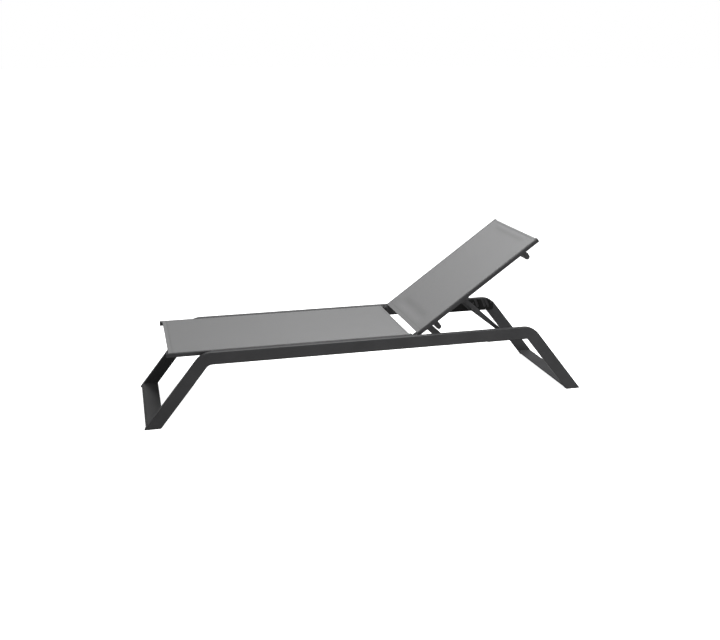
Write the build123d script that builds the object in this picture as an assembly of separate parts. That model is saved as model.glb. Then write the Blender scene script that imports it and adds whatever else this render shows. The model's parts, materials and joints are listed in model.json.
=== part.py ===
from build123d import *
import math
import os

# Reclining sun lounger, millimetres.
# +X runs from the foot end to the head end, +Y to the user's right, +Z up.
# The origin is on the floor under the middle of the lounger.

# ---- driving dimensions ---------------------------------------------------------------------

# side frames: one flat tube each, bent into a rail with two splayed legs
FOOT_SPREAD = 2230.0        # from foot tip to foot tip, along X
OVERALL_WIDTH = 606.0       # over both side frames
RAIL_TOP = 356.0
RAIL_HEIGHT = 60.0          # flat tube 60 x 25
RAIL_THICK = 25.0
FRAME_WALL = 2.5
LEG_ANGLE = 51.55           # between leg and floor, degrees
BEND_OUTSIDE = 95.0
BEND_INSIDE = BEND_OUTSIDE - RAIL_HEIGHT
FRAME_EDGE = 2.0            # rounding of the frame tubes' long edges

# floor bars and foot glides
GLIDE_THICK = 5.0
GLIDE_INSET = 1.0           # glide edge stands back from the tube's edge
GLIDE_PLUG_HIGH = 12.0
FLOOR_BAR_TOP = 20.0
FLOOR_BAR_WALL = 2.0

# hinge beam, a flat tube between the rails just behind the hinge
BEAM_X = 357.0
BEAM_WIDE = 42.0
BEAM_HIGH = 10.0
BEAM_WALL = 1.8
BEAM_EDGE = 1.5

# sling tubes of seat and back: 25 x 20 with a groove along the top
SLING_TOP = 358.0           # upper face of the seat fabric
SLING_OUTER = 273.0         # outer face of the sling tubes, from the middle
TUBE_WIDE = 25.0
TUBE_HIGH = 20.0
TUBE_WALL = 1.8
TUBE_EDGE = 2.5             # rounding of the tube's long edges
GROOVE_WIDE = 5.0
GROOVE_DEEP = 6.0
GROOVE_IN = 7.5             # from the tube's outer face to the groove's middle
KEDER_RADIUS = 1.9
CAP_THICK = 2.5
CAP_PLUG = 4.0
CAP_RIM = 0.8               # rounding of a cap's outer rim

# slings
FABRIC = 1.2
BARE_SEAT_TUBE = 10.0       # tube past the fabric at both ends of the seat
BARE_BACK_TUBE = 0.5        # tube past the fabric at the top of the back
SEAT_FOOT_EDGE = -984.0     # fabric edges along X
SEAT_HEAD_EDGE = 187.0
BACK_LENGTH = 755.0

# oval stretchers under the slings, width and height
SEAT_OVAL = (20.0, 36.0)
BACK_OVAL = (26.0, 41.0)
OVAL_WALL = 1.5
SEAT_STRETCHER_X = {"foot": -800.0, "middle": -363.0, "rear": 74.0}
BACK_STRETCHER_AT = {"lower": 105.5, "upper": 666.0}    # from the fabric's lower edge
BACK_STRETCHER_HALF = 266.0

# recline hinge
HINGE_X = 219.0
REST_ANGLE = 35.7
HINGE_TO_FABRIC = 13.0      # along the back, from the hinge to the fabric's lower edge
HINGE_TO_TUBE_END = 11.0
HINGE_BOLT_RADIUS = 4.0
HINGE_BOLT_END = 12.0       # past the rail's inner face
HINGE_HEAD_RADIUS = 7.5
HINGE_HEAD_THICK = 5.0
HEAD_ROUND = 1.4            # rounding of the rims of bolt, rivet and screw heads
BUSH_RADIUS = 6.0
BUSH_FLANGE_RADIUS = 8.5
BUSH_FLANGE = 2.0
NUT_ACROSS = 13.0
NUT_THICK = 6.5
WASHER_RADIUS = 8.5

# prop: two flat arms and a cross rod that drops into the racks
PROP_PIVOT_ALONG = 303.0    # along the back, from the hinge
PROP_PIVOT_BELOW = 17.8     # below the hinge line
ARM_LENGTH = 300.0
ARM_WIDE = 20.0
ARM_THICK = 8.0
ARM_INNER = 227.0           # inner face of an arm, from the middle
PLATE_EDGE = 0.8            # rounding of the arms' and racks' edges
PIN_RADIUS = 4.0
PIN_HEAD_RADIUS = 7.0
PIN_HEAD_THICK = 4.0
PROP_WASHER = 1.6
ROD_RADIUS = 6.0
SLEEVE_RADIUS = 7.5
SLEEVE_LENGTH = 30.0
ROD_END_GAP = 1.5           # rod tip to rack
ROD_DROP = 36.8             # rod axis below the hinge axis at rest
BRACKET_THICK = 4.0
BRACKET_LONG = 44.0
BRACKET_WIDE = 30.0
BRACKET_EAR = 11.0          # radius of the ear around the rivet
BRACKET_SCREW_REACH = 14.5  # bracket screws before and after the rivet

# racks on the inner faces of the rails
RECLINE_STEPS = (0.0, 14.0, 25.0, 35.7, 47.0)   # back angles that the notches give
PROP_RATIO = 2.07           # turn of the prop against the back, for a turn of the back
RACK_THICK = 4.0
RACK_LOW = 286.0
RACK_HIGH = 350.0
RACK_INSET = 4.0            # rack edge inside the outline of rail and bend
RACK_END = 30.0             # plate past the first and last notch
NOTCH_RADIUS = 8.0
NOTCH_LEAN = 25.0           # notches lean towards the foot end, degrees
NOTCH_REACH = 60.0
RACK_SCREW_DROP = 20.0      # screws below the rack's top edge

# screws
SCREW_RADIUS = 2.5
SCREW_HEAD_RADIUS = 5.0
SCREW_HEAD_THICK = 2.5
RUNNING_GAP = 0.05          # radial, shaft in hole
SIDE_GAP = 0.3              # between moving faces
NEAR = 1.0                  # how close an edge lies to the place it is looked for

# ---- worked-out dimensions ------------------------------------------------------------------

LEG_RUN = 1.0 / math.tan(math.radians(LEG_ANGLE))           # X per unit of height
FOOT_CUT = RAIL_HEIGHT / math.sin(math.radians(LEG_ANGLE))  # level cut through a leg
HALF_SPREAD = FOOT_SPREAD / 2
RAIL_INNER = OVERALL_WIDTH / 2 - RAIL_THICK
TUBE_TOP = SLING_TOP - FABRIC
TUBE_BOTTOM = TUBE_TOP - TUBE_HIGH
TUBE_INNER = SLING_OUTER - TUBE_WIDE
HINGE_Z = TUBE_TOP - TUBE_HIGH / 2
BACK_TUBE_TOP = TUBE_HIGH / 2                               # heights over the hinge line
BACK_TUBE_BOTTOM = -TUBE_HIGH / 2
BACK_FABRIC_END = HINGE_TO_FABRIC + BACK_LENGTH
GROOVE_Y = SLING_OUTER - GROOVE_IN                          # middle of the groove, from the middle
GROOVE_WALL_INNER = GROOVE_Y - GROOVE_WIDE / 2 - TUBE_WALL  # inner face of the wall beside the groove
ROD_Z = HINGE_Z - ROD_DROP
RACK_FACE = RAIL_INNER - RACK_THICK
ROD_HALF = RACK_FACE - ROD_END_GAP

SIDES = {"left": -1, "right": 1}
ALONG_Y = Vector(0, 1, 0)


# ---- shared shapes --------------------------------------------------------------------------

def box(x, y, z):
    """Box between two X, two Y and two Z values."""
    size = (x[1] - x[0], abs(y[1] - y[0]), z[1] - z[0])
    centre = ((x[0] + x[1]) / 2, (y[0] + y[1]) / 2, (z[0] + z[1]) / 2)
    return Pos(*centre) * Box(*size)


def rod_y(radius, y0, y1, x=0.0, z=0.0):
    """Round bar along Y between two Y values."""
    return Pos(x, (y0 + y1) / 2, z) * Rot(90, 0, 0) * Cylinder(radius, abs(y1 - y0))


def rod_z(radius, z0, z1, x=0.0, y=0.0):
    """Round bar along Z between two heights."""
    return Pos(x, y, (z0 + z1) / 2) * Cylinder(radius, z1 - z0)


def ring_y(outer, inner, y0, y1, x=0.0, z=0.0):
    """Ring along Y between two Y values."""
    return rod_y(outer, y0, y1, x, z) - rod_y(inner, y0, y1, x, z)


def hex_nut_y(across, bore, y0, y1, x=0.0, z=0.0):
    """Hexagon nut with its bore along Y."""
    blank = extrude(RegularPolygon(across / math.sqrt(3), 6), abs(y1 - y0) / 2, both=True)
    return Pos(x, (y0 + y1) / 2, z) * Rot(90, 0, 0) * blank - rod_y(bore, y0, y1, x, z)


def sunk_screw_y(side, face, depth, x, z, gap=0.0):
    """Flat-head screw along Y with its head flush in `face`; `gap` makes it its own bore."""
    cone = Cone(SCREW_RADIUS + gap, SCREW_HEAD_RADIUS + gap, SCREW_HEAD_THICK)
    head = Pos(x, side * (face + SCREW_HEAD_THICK / 2), z) * Rot(side * 90, 0, 0) * cone
    return head + rod_y(SCREW_RADIUS + gap, side * (face + SCREW_HEAD_THICK), side * (face + depth), x, z)


def screw_up(face, depth, x, y):
    """Button-head screw along Z: its head under `face`, its shank `depth` upwards."""
    head = rod_z(SCREW_HEAD_RADIUS, face - SCREW_HEAD_THICK, face, x, y)
    head = fillet(head.edges().filter_by(GeomType.CIRCLE).sort_by(Axis.Z)[0], HEAD_ROUND)
    return head + rod_z(SCREW_RADIUS, face, face + depth, x, y)


def prism_y(corners, y0, y1):
    """Prism along Y over a closed outline of (x, z) corners."""
    outline = Polyline(*[(x, 0, z) for x, z in corners], close=True)
    return extrude(Pos(0, min(y0, y1), 0) * make_face(outline), abs(y1 - y0), dir=ALONG_Y)


def rounded_along_y(shape, radius):
    """Shape with its edges along Y rounded."""
    return fillet(shape.edges().filter_by(Axis.Y), radius)


def rounded_face(shape, y, radius):
    """Plate with the rim of its face at `y` rounded."""
    return fillet(shape.faces().filter_by(lambda f: abs(f.center().Y - y) < RUNNING_GAP)[0].edges(), radius)


def rounded_head(head, side, radius):
    """Round head with the rim on its inner side rounded."""
    rim = head.edges().filter_by(GeomType.CIRCLE).sort_by(lambda e: side * e.center().Y)[0]
    return fillet(rim, radius)


# ---- side frames ----------------------------------------------------------------------------

def frame_blank(inset, low, y0, y1):
    """Rail and legs as one bent bar, `inset` inside the tube's faces, cut level at `low`."""
    slant = inset / math.sin(math.radians(LEG_ANGLE))
    top = RAIL_TOP - inset
    bottom = RAIL_TOP - RAIL_HEIGHT + inset
    outer_foot = HALF_SPREAD - slant
    inner_foot = HALF_SPREAD - FOOT_CUT + slant
    half = [
        (outer_foot - low * LEG_RUN, low),
        (outer_foot - top * LEG_RUN, top),
        (inner_foot - bottom * LEG_RUN, bottom),
        (inner_foot - low * LEG_RUN, low),
    ]
    head_foot, head_top, head_inside, head_heel = half
    corners = [(-head_foot[0], low), (-head_top[0], top), head_top, head_foot]
    corners += [head_heel, head_inside, (-head_inside[0], bottom), (-head_heel[0], low)]
    blank = prism_y(corners, y0, y1)
    bends = blank.edges().filter_by(Axis.Y)
    outside = bends.filter_by(lambda e: abs(e.center().Z - top) < NEAR)
    blank = fillet(outside, BEND_OUTSIDE - inset)
    inside = blank.edges().filter_by(Axis.Y).filter_by(lambda e: abs(e.center().Z - bottom) < NEAR)
    inside = inside.filter_by(lambda e: abs(abs(e.center().X) - head_inside[0]) < NEAR)
    return fillet(inside, BEND_INSIDE + inset)


def side_frame(side):
    """Hollow side frame with the bores for the hinge bolt and the rack screws."""
    outer_face = side * OVERALL_WIDTH / 2
    inner_face = side * RAIL_INNER
    frame = frame_blank(0.0, GLIDE_THICK, inner_face, outer_face)
    ends = frame.edges().filter_by(lambda e: e.center().Z < GLIDE_THICK + NEAR)
    frame = fillet(frame.edges().filter_by(Axis.Y, reverse=True) - ends, FRAME_EDGE)
    hollow = frame_blank(FRAME_WALL, -GLIDE_THICK, inner_face + side * FRAME_WALL,
                         outer_face - side * FRAME_WALL)
    frame -= hollow
    frame -= rod_y(HINGE_BOLT_RADIUS + RUNNING_GAP, inner_face, inner_face + side * 2 * FRAME_WALL,
                   HINGE_X, HINGE_Z)
    for x, z in rack_screw_places():
        frame -= rod_y(SCREW_RADIUS + RUNNING_GAP, inner_face, inner_face + side * 2 * FRAME_WALL, x, z)
    return frame


def leg_slab(low, high, inset):
    """Slanted outline of a leg between two heights, for the head end."""
    outer = HALF_SPREAD - inset
    inner = HALF_SPREAD - FOOT_CUT + inset
    return [(outer - low * LEG_RUN, low), (outer - high * LEG_RUN, high),
            (inner - high * LEG_RUN, high), (inner - low * LEG_RUN, low)]


def mirrored(corners, end):
    """Outline turned to the foot end (-1) or left at the head end (+1)."""
    return [(end * x, z) for x, z in corners]


def foot_glide(end, side):
    """Plastic glide: a sole under the leg and a plug inside the tube."""
    inner = side * (RAIL_INNER + GLIDE_INSET)
    outer = side * (OVERALL_WIDTH / 2 - GLIDE_INSET)
    sole = prism_y(mirrored(leg_slab(0.0, GLIDE_THICK, 0.0), end), inner, outer)
    corners = sole.edges().filter_by(Axis.Y, reverse=True)
    sole = fillet(corners.filter_by(lambda e: abs(e.center().Z - GLIDE_THICK / 2) < NEAR), FRAME_EDGE)
    tube_gap = FRAME_WALL + RUNNING_GAP
    slant = tube_gap / math.sin(math.radians(LEG_ANGLE))
    plug_top = GLIDE_THICK + GLIDE_PLUG_HIGH
    plug = prism_y(mirrored(leg_slab(GLIDE_THICK, plug_top, slant), end),
                   side * (RAIL_INNER + tube_gap), side * (OVERALL_WIDTH / 2 - tube_gap))
    return sole + plug


def floor_bar(end):
    """Flat hollow bar on the floor between two legs, its sides in line with theirs."""
    bar = prism_y(mirrored(leg_slab(GLIDE_THICK, FLOOR_BAR_TOP, 0.0), end), -RAIL_INNER, RAIL_INNER)
    bar = rounded_along_y(bar, FRAME_EDGE)
    slant = FLOOR_BAR_WALL / math.sin(math.radians(LEG_ANGLE))
    hollow = leg_slab(GLIDE_THICK + FLOOR_BAR_WALL, FLOOR_BAR_TOP - FLOOR_BAR_WALL, slant)
    return bar - prism_y(mirrored(hollow, end), -RAIL_INNER, RAIL_INNER)


def hinge_beam():
    """Flat hollow beam that holds the rails apart behind the hinge."""
    low = RAIL_TOP - RAIL_HEIGHT
    x = (BEAM_X, BEAM_X + BEAM_WIDE)
    z = (low, low + BEAM_HIGH)
    span = (-RAIL_INNER, RAIL_INNER)
    beam = rounded_along_y(box(x, span, z), BEAM_EDGE)
    hollow = box((x[0] + BEAM_WALL, x[1] - BEAM_WALL), span, (z[0] + BEAM_WALL, z[1] - BEAM_WALL))
    return beam - hollow


# ---- sling frames, built with the hinge line at Z = 0 and X = 0 ------------------------------

def sling_tube(side, x0, x1, screws):
    """Hollow sling tube with its keder groove along the top, bored from below at `screws`."""
    outer = side * SLING_OUTER
    inner = side * TUBE_INNER
    tube = box((x0, x1), (inner, outer), (BACK_TUBE_BOTTOM, BACK_TUBE_TOP))
    tube = fillet(tube.edges().filter_by(Axis.X), TUBE_EDGE)
    groove = (side * (GROOVE_Y - GROOVE_WIDE / 2), side * (GROOVE_Y + GROOVE_WIDE / 2))
    tube -= box((x0, x1), groove, (BACK_TUBE_TOP - GROOVE_DEEP, BACK_TUBE_TOP))
    cavity = box((x0, x1), (inner + side * TUBE_WALL, outer - side * TUBE_WALL),
                 (BACK_TUBE_BOTTOM + TUBE_WALL, BACK_TUBE_TOP - TUBE_WALL))
    cavity -= box((x0, x1), (side * GROOVE_WALL_INNER, outer),
                  (BACK_TUBE_TOP - GROOVE_DEEP - TUBE_WALL, BACK_TUBE_TOP))
    return tube - cavity - screw_bores(screws, BACK_TUBE_BOTTOM, BACK_TUBE_BOTTOM + TUBE_WALL)


def tube_cap(side, end, x):
    """Plastic cap on a sling tube's end at `x`, with a plug in the tube."""
    faces = (side * TUBE_INNER, side * SLING_OUTER)
    plate = box(sorted((x, x + end * CAP_THICK)), faces, (BACK_TUBE_BOTTOM, BACK_TUBE_TOP))
    plate = fillet(plate.edges().filter_by(Axis.X), TUBE_EDGE)
    outside = plate.faces().sort_by(lambda f: end * f.center().X)[-1]
    plate = fillet(outside.edges(), CAP_RIM)
    gap = TUBE_WALL + RUNNING_GAP
    plug = box(sorted((x, x - end * CAP_PLUG)),
               (side * (TUBE_INNER + gap), side * (GROOVE_WALL_INNER - RUNNING_GAP)),
               (BACK_TUBE_BOTTOM + gap, BACK_TUBE_TOP - gap))
    return plate + plug


def keder(side, x0, x1):
    """Round rod that locks the fabric's edge in the groove."""
    rod = Rot(0, 90, 0) * Cylinder(KEDER_RADIUS, x1 - x0)
    return Pos((x0 + x1) / 2, side * GROOVE_Y, BACK_TUBE_TOP - GROOVE_DEEP / 2) * rod


def sling(x0, x1):
    """Fabric sheet over both tubes, from groove to groove."""
    return box((x0, x1), (-GROOVE_Y, GROOVE_Y), (BACK_TUBE_TOP, BACK_TUBE_TOP + FABRIC))


def screw_line():
    """Distance of the sling tubes' screws from the middle."""
    return (TUBE_INNER + GROOVE_WALL_INNER) / 2


def screw_bores(places, z0, z1):
    """Bores for screws up into both sling tubes."""
    return [rod_z(SCREW_RADIUS + RUNNING_GAP, z0, z1, x, side * screw_line())
            for x in places for side in SIDES.values()]


def oval(size, inset=0.0):
    """Upright oval in the X-Z plane, `inset` inside a (width, height)."""
    wide, high = size
    return Plane.XZ * SlotOverall(high - 2 * inset, wide - 2 * inset, rotation=90)


def stretcher(x, half, size):
    """Oval hollow tube on edge under the sling tubes, bored for its screws."""
    high = size[1]
    section = oval(size) - oval(size, OVAL_WALL)
    bar = Pos(x, 0, BACK_TUBE_BOTTOM - high / 2) * extrude(section, half, both=True)
    return bar - screw_bores([x], BACK_TUBE_BOTTOM - high, BACK_TUBE_BOTTOM)


def stretcher_cap(side, x):
    """Plastic cap in the end of one of the back's stretchers."""
    face = side * BACK_STRETCHER_HALF
    plate = extrude(oval(BACK_OVAL), CAP_THICK / 2, both=True)
    outside = plate.faces().sort_by(lambda f: side * f.center().Y)[-1]
    plate = fillet(outside.edges(), CAP_RIM)
    plug = extrude(oval(BACK_OVAL, OVAL_WALL + RUNNING_GAP), CAP_PLUG / 2, both=True)
    z = BACK_TUBE_BOTTOM - BACK_OVAL[1] / 2
    return Pos(x, face + side * CAP_THICK / 2, z) * plate + Pos(x, face - side * CAP_PLUG / 2, z) * plug


def stretcher_screws(places, size):
    """Screws up through each stretcher into both sling tubes."""
    high = size[1]
    return [screw_up(BACK_TUBE_BOTTOM - high, high + TUBE_WALL, x, side * screw_line())
            for x in places for side in SIDES.values()]


# ---- hinge ----------------------------------------------------------------------------------

def back_stretcher_places():
    """Places of the back's stretchers along it, from the hinge."""
    return [HINGE_TO_FABRIC + at for at in BACK_STRETCHER_AT.values()]


def hinge_bolt(side):
    """Bolt from inside the back's tube into the rail."""
    face = TUBE_INNER - BUSH_FLANGE - SIDE_GAP
    shank = rod_y(HINGE_BOLT_RADIUS, side * face, side * (RAIL_INNER + HINGE_BOLT_END))
    head = rod_y(HINGE_HEAD_RADIUS, side * (face - HINGE_HEAD_THICK), side * face)
    return rounded_head(head, side, HEAD_ROUND) + shank


def hinge_nut(side):
    """Nut on the hinge bolt, inside the rail."""
    inner = RAIL_INNER + FRAME_WALL
    return hex_nut_y(NUT_ACROSS, HINGE_BOLT_RADIUS + RUNNING_GAP, side * inner, side * (inner + NUT_THICK))


def hinge_washer(side):
    """Plain spacer between the back's tube and the rail."""
    return ring_y(WASHER_RADIUS, HINGE_BOLT_RADIUS + RUNNING_GAP,
                  side * (SLING_OUTER + SIDE_GAP), side * RAIL_INNER)


def hinge_bush(side):
    """Flanged plastic bush through the back's tube."""
    bore = HINGE_BOLT_RADIUS + RUNNING_GAP
    body = ring_y(BUSH_RADIUS, bore, side * TUBE_INNER, side * SLING_OUTER)
    return body + ring_y(BUSH_FLANGE_RADIUS, bore, side * (TUBE_INNER - BUSH_FLANGE), side * TUBE_INNER)


def back_tube(side):
    """Back's sling tube with the bore for its hinge bush."""
    screws = back_stretcher_places() + bracket_screw_places()
    tube = sling_tube(side, -HINGE_TO_TUBE_END, BACK_FABRIC_END + BARE_BACK_TUBE, screws)
    return tube - rod_y(BUSH_RADIUS + RUNNING_GAP, side * TUBE_INNER, side * SLING_OUTER)


# ---- prop, built at rest with the back's hinge line as its origin ------------------------------

def prop_angle(recline):
    """Angle of an arm below the back, for a recline angle."""
    pivot_drop = ROD_DROP + PROP_PIVOT_ALONG * math.sin(math.radians(REST_ANGLE))
    pivot_drop -= PROP_PIVOT_BELOW * math.cos(math.radians(REST_ANGLE))
    at_rest = REST_ANGLE + math.degrees(math.asin(pivot_drop / ARM_LENGTH))
    return at_rest + PROP_RATIO * (recline - REST_ANGLE)


def rod_place(recline):
    """World X and Z of the rod's axis, for a recline angle."""
    turn = math.radians(recline)
    pivot_x = HINGE_X + PROP_PIVOT_ALONG * math.cos(turn) + PROP_PIVOT_BELOW * math.sin(turn)
    pivot_z = HINGE_Z + PROP_PIVOT_ALONG * math.sin(turn) - PROP_PIVOT_BELOW * math.cos(turn)
    down = math.radians(prop_angle(recline) - recline)
    return pivot_x + ARM_LENGTH * math.cos(down), pivot_z - ARM_LENGTH * math.sin(down)


def prop_arm(side):
    """Flat arm, round at both ends, bored for its pivot and for the rod."""
    y0 = side * ARM_INNER
    y1 = side * (ARM_INNER + ARM_THICK)
    outline = Plane.XZ * Pos(ARM_LENGTH / 2, 0) * SlotCenterToCenter(ARM_LENGTH, ARM_WIDE)
    arm = Pos(0, (y0 + y1) / 2, 0) * extrude(outline, ARM_THICK / 2, both=True)
    for face in (y0, y1):
        arm = rounded_face(arm, face, PLATE_EDGE)
    arm -= rod_y(PIN_RADIUS + RUNNING_GAP, y0, y1)
    arm -= rod_y(ROD_RADIUS + RUNNING_GAP, y0, y1, ARM_LENGTH)
    return arm


def rod_sleeve(side):
    """Plastic sleeve on the rod's end, where it meets the rack."""
    faces = (side * (ROD_HALF - SLEEVE_LENGTH), side * ROD_HALF)
    return ring_y(SLEEVE_RADIUS, ROD_RADIUS + RUNNING_GAP, *faces, ARM_LENGTH)


def bracket_screw_places():
    """Places of a bracket's screws along the back, from the hinge."""
    return [PROP_PIVOT_ALONG - BRACKET_SCREW_REACH, PROP_PIVOT_ALONG + BRACKET_SCREW_REACH]


def bracket_screws():
    """Screws up through both prop brackets into the back's tubes."""
    return [screw_up(BACK_TUBE_BOTTOM - BRACKET_THICK, BRACKET_THICK + TUBE_WALL, x, side * screw_line())
            for side in SIDES.values() for x in bracket_screw_places()]


def prop_bracket(side):
    """Angle plate under the back's tube that carries an arm."""
    x = (PROP_PIVOT_ALONG - BRACKET_LONG / 2, PROP_PIVOT_ALONG + BRACKET_LONG / 2)
    web = side * (ARM_INNER + ARM_THICK + PROP_WASHER)
    web_out = web + side * BRACKET_THICK
    seat_y = web + side * BRACKET_WIDE
    seat = box(x, (web, seat_y), (BACK_TUBE_BOTTOM - BRACKET_THICK, BACK_TUBE_BOTTOM))
    ear = rod_y(BRACKET_EAR, web, web_out, PROP_PIVOT_ALONG, -PROP_PIVOT_BELOW - BRACKET_THICK)
    neck = box((PROP_PIVOT_ALONG - BRACKET_EAR, PROP_PIVOT_ALONG + BRACKET_EAR), (web, web_out),
               (-PROP_PIVOT_BELOW - BRACKET_THICK, BACK_TUBE_BOTTOM))
    bore = rod_y(PIN_RADIUS + RUNNING_GAP, web, web_out, PROP_PIVOT_ALONG, -PROP_PIVOT_BELOW)
    screws = screw_bores(bracket_screw_places(), BACK_TUBE_BOTTOM - BRACKET_THICK, BACK_TUBE_BOTTOM)
    return seat + neck + ear - bore - screws


def prop_pin(side):
    """Shoulder rivet that an arm turns on, flush with its bracket outside."""
    head_face = ARM_INNER - SIDE_GAP
    outer = ARM_INNER + ARM_THICK + PROP_WASHER + BRACKET_THICK
    shank = rod_y(PIN_RADIUS, side * head_face, side * outer)
    head = rod_y(PIN_HEAD_RADIUS, side * (head_face - PIN_HEAD_THICK), side * head_face)
    return Pos(PROP_PIVOT_ALONG, 0, -PROP_PIVOT_BELOW) * (rounded_head(head, side, HEAD_ROUND) + shank)


def prop_washer(side):
    """Plastic washer between an arm and its bracket."""
    inner = ARM_INNER + ARM_THICK
    outer = inner + PROP_WASHER - SIDE_GAP
    return ring_y(WASHER_RADIUS, PIN_RADIUS + RUNNING_GAP, side * inner, side * outer)


# ---- racks ----------------------------------------------------------------------------------

def notch_places():
    """X of the rod's axis at each reclining step, from the head end to the foot end."""
    return [rod_place(step)[0] for step in RECLINE_STEPS]


def rack_screw_places():
    """Screws near both ends of a rack and half-way between two notches."""
    notches = notch_places()
    z = RACK_HIGH - RACK_SCREW_DROP
    half_way = (notches[2] + notches[3]) / 2
    return [(notches[0] + RACK_END / 2, z), (half_way, z), (notches[-1] + RACK_END / 2, z)]


def rack(side):
    """Plate with leaning notches, screwed to the rail's inner face."""
    notches = notch_places()
    faces = (side * RACK_FACE, side * RAIL_INNER)
    x = (notches[-1] - RACK_END, notches[0] + RACK_END)
    plate = box(x, faces, (RACK_LOW, ROD_Z))
    plate += box(x, faces, (ROD_Z, RACK_HIGH)) & frame_blank(RACK_INSET, GLIDE_THICK, *faces)
    plate = fillet(plate.edges().filter_by(Axis.Y).group_by(Axis.Z)[0], (ROD_Z - RACK_LOW) / 2)
    for x in notches:
        slot = rod_y(NOTCH_RADIUS, *faces)
        slot += box((-NOTCH_RADIUS, NOTCH_RADIUS), faces, (0.0, NOTCH_REACH))
        plate -= Pos(x, 0, ROD_Z) * Rot(0, -NOTCH_LEAN, 0) * slot
    plate = rounded_face(plate, side * RACK_FACE, PLATE_EDGE)
    for x, z in rack_screw_places():
        plate -= sunk_screw_y(side, RACK_FACE, RACK_THICK, x, z, RUNNING_GAP)
    return plate


# ---- assembly -------------------------------------------------------------------------------

def on_seat(shape):
    """Sling-frame shape moved to the height of the seat."""
    return Pos(0, 0, HINGE_Z) * shape


def on_back(shape):
    """Shape of the back turned about the hinge to its resting angle."""
    return Pos(HINGE_X, 0, HINGE_Z) * Rot(0, -REST_ANGLE, 0) * shape


def on_prop(shape):
    """Shape of the prop, its pivot at the origin, turned down under the back."""
    return on_back(Pos(PROP_PIVOT_ALONG, 0, -PROP_PIVOT_BELOW) * Rot(0, prop_angle(REST_ANGLE), 0) * shape)


def at_hinge(shape):
    """Hinge part of the frame, moved to the hinge line."""
    return Pos(HINGE_X, 0, HINGE_Z) * shape


def frame_nodes():
    """Everything that stands still."""
    nodes = {}
    ends = {"foot": -1, "head": 1}
    for name, side in SIDES.items():
        nodes[f"{name}_side_frame"] = side_frame(side)
        nodes[f"{name}_rack"] = rack(side)
        nodes[f"{name}_hinge_bolt"] = at_hinge(hinge_bolt(side))
        for end_name, end in ends.items():
            nodes[f"{end_name}_{name}_glide"] = foot_glide(end, side)
        seat_ends = (SEAT_FOOT_EDGE - BARE_SEAT_TUBE, SEAT_HEAD_EDGE + BARE_SEAT_TUBE)
        nodes[f"{name}_seat_tube"] = on_seat(sling_tube(side, *seat_ends, SEAT_STRETCHER_X.values()))
        nodes[f"{name}_seat_keder"] = on_seat(keder(side, SEAT_FOOT_EDGE, SEAT_HEAD_EDGE))
        nodes[f"{name}_seat_foot_cap"] = on_seat(tube_cap(side, -1, seat_ends[0]))
        nodes[f"{name}_seat_rear_cap"] = on_seat(tube_cap(side, 1, seat_ends[1]))
    for end_name, end in ends.items():
        nodes[f"{end_name}_floor_bar"] = floor_bar(end)
    nodes["hinge_beam"] = hinge_beam()
    for name, x in SEAT_STRETCHER_X.items():
        nodes[f"seat_{name}_stretcher"] = on_seat(stretcher(x, RAIL_INNER, SEAT_OVAL))
    nodes["seat_sling"] = on_seat(sling(SEAT_FOOT_EDGE, SEAT_HEAD_EDGE))
    seat_screws = stretcher_screws(SEAT_STRETCHER_X.values(), SEAT_OVAL)
    nodes["seat_screws"] = [on_seat(screw) for screw in seat_screws]
    nodes["hinge_nuts"] = [at_hinge(hinge_nut(side)) for side in SIDES.values()]
    nodes["hinge_spacers"] = [at_hinge(hinge_washer(side)) for side in SIDES.values()]
    nodes["rack_screws"] = [sunk_screw_y(side, RACK_FACE, RACK_THICK + 2 * FRAME_WALL, x, z)
                            for side in SIDES.values() for x, z in rack_screw_places()]
    return nodes


def back_nodes():
    """Everything that turns with the back."""
    nodes = {}
    for name, side in SIDES.items():
        nodes[f"{name}_back_tube"] = back_tube(side)
        nodes[f"{name}_back_keder"] = keder(side, HINGE_TO_FABRIC, BACK_FABRIC_END)
        nodes[f"{name}_back_top_cap"] = tube_cap(side, 1, BACK_FABRIC_END + BARE_BACK_TUBE)
        nodes[f"{name}_back_hinge_cap"] = tube_cap(side, -1, -HINGE_TO_TUBE_END)
        nodes[f"{name}_hinge_bush"] = hinge_bush(side)
        nodes[f"{name}_prop_bracket"] = prop_bracket(side)
        nodes[f"{name}_prop_rivet"] = prop_pin(side)
    for name, x in zip(BACK_STRETCHER_AT, back_stretcher_places()):
        nodes[f"back_{name}_stretcher"] = stretcher(x, BACK_STRETCHER_HALF, BACK_OVAL)
        nodes[f"back_{name}_stretcher_caps"] = [stretcher_cap(side, x) for side in SIDES.values()]
    nodes["back_sling"] = sling(HINGE_TO_FABRIC, BACK_FABRIC_END)
    nodes["back_screws"] = stretcher_screws(back_stretcher_places(), BACK_OVAL)
    nodes["bracket_screws"] = bracket_screws()
    turned = {}
    for name, shape in nodes.items():
        turned[name] = [on_back(s) for s in shape] if isinstance(shape, list) else on_back(shape)
    return turned


def prop_nodes():
    """Everything that turns with the prop."""
    nodes = {}
    for name, side in SIDES.items():
        nodes[f"{name}_prop_arm"] = on_prop(prop_arm(side))
        nodes[f"{name}_rod_sleeve"] = on_prop(rod_sleeve(side))
    nodes["prop_rod"] = on_prop(rod_y(ROD_RADIUS, -ROD_HALF, ROD_HALF, ARM_LENGTH))
    nodes["prop_washers"] = [on_prop(prop_washer(side)) for side in SIDES.values()]
    return nodes


def write(nodes):
    """One STEP file per node."""
    os.makedirs("parts", exist_ok=True)
    for name, shape in nodes.items():
        solids = shape if isinstance(shape, list) else [shape]
        solids = [solid for part in solids for solid in part.solids()]
        node = Compound(children=solids) if len(solids) > 1 else solids[0]
        node.label = name
        export_step(node, os.path.join("parts", f"{name}.step"))


def main():
    """Build and write every node."""
    write({**frame_nodes(), **back_nodes(), **prop_nodes()})


main()
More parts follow.
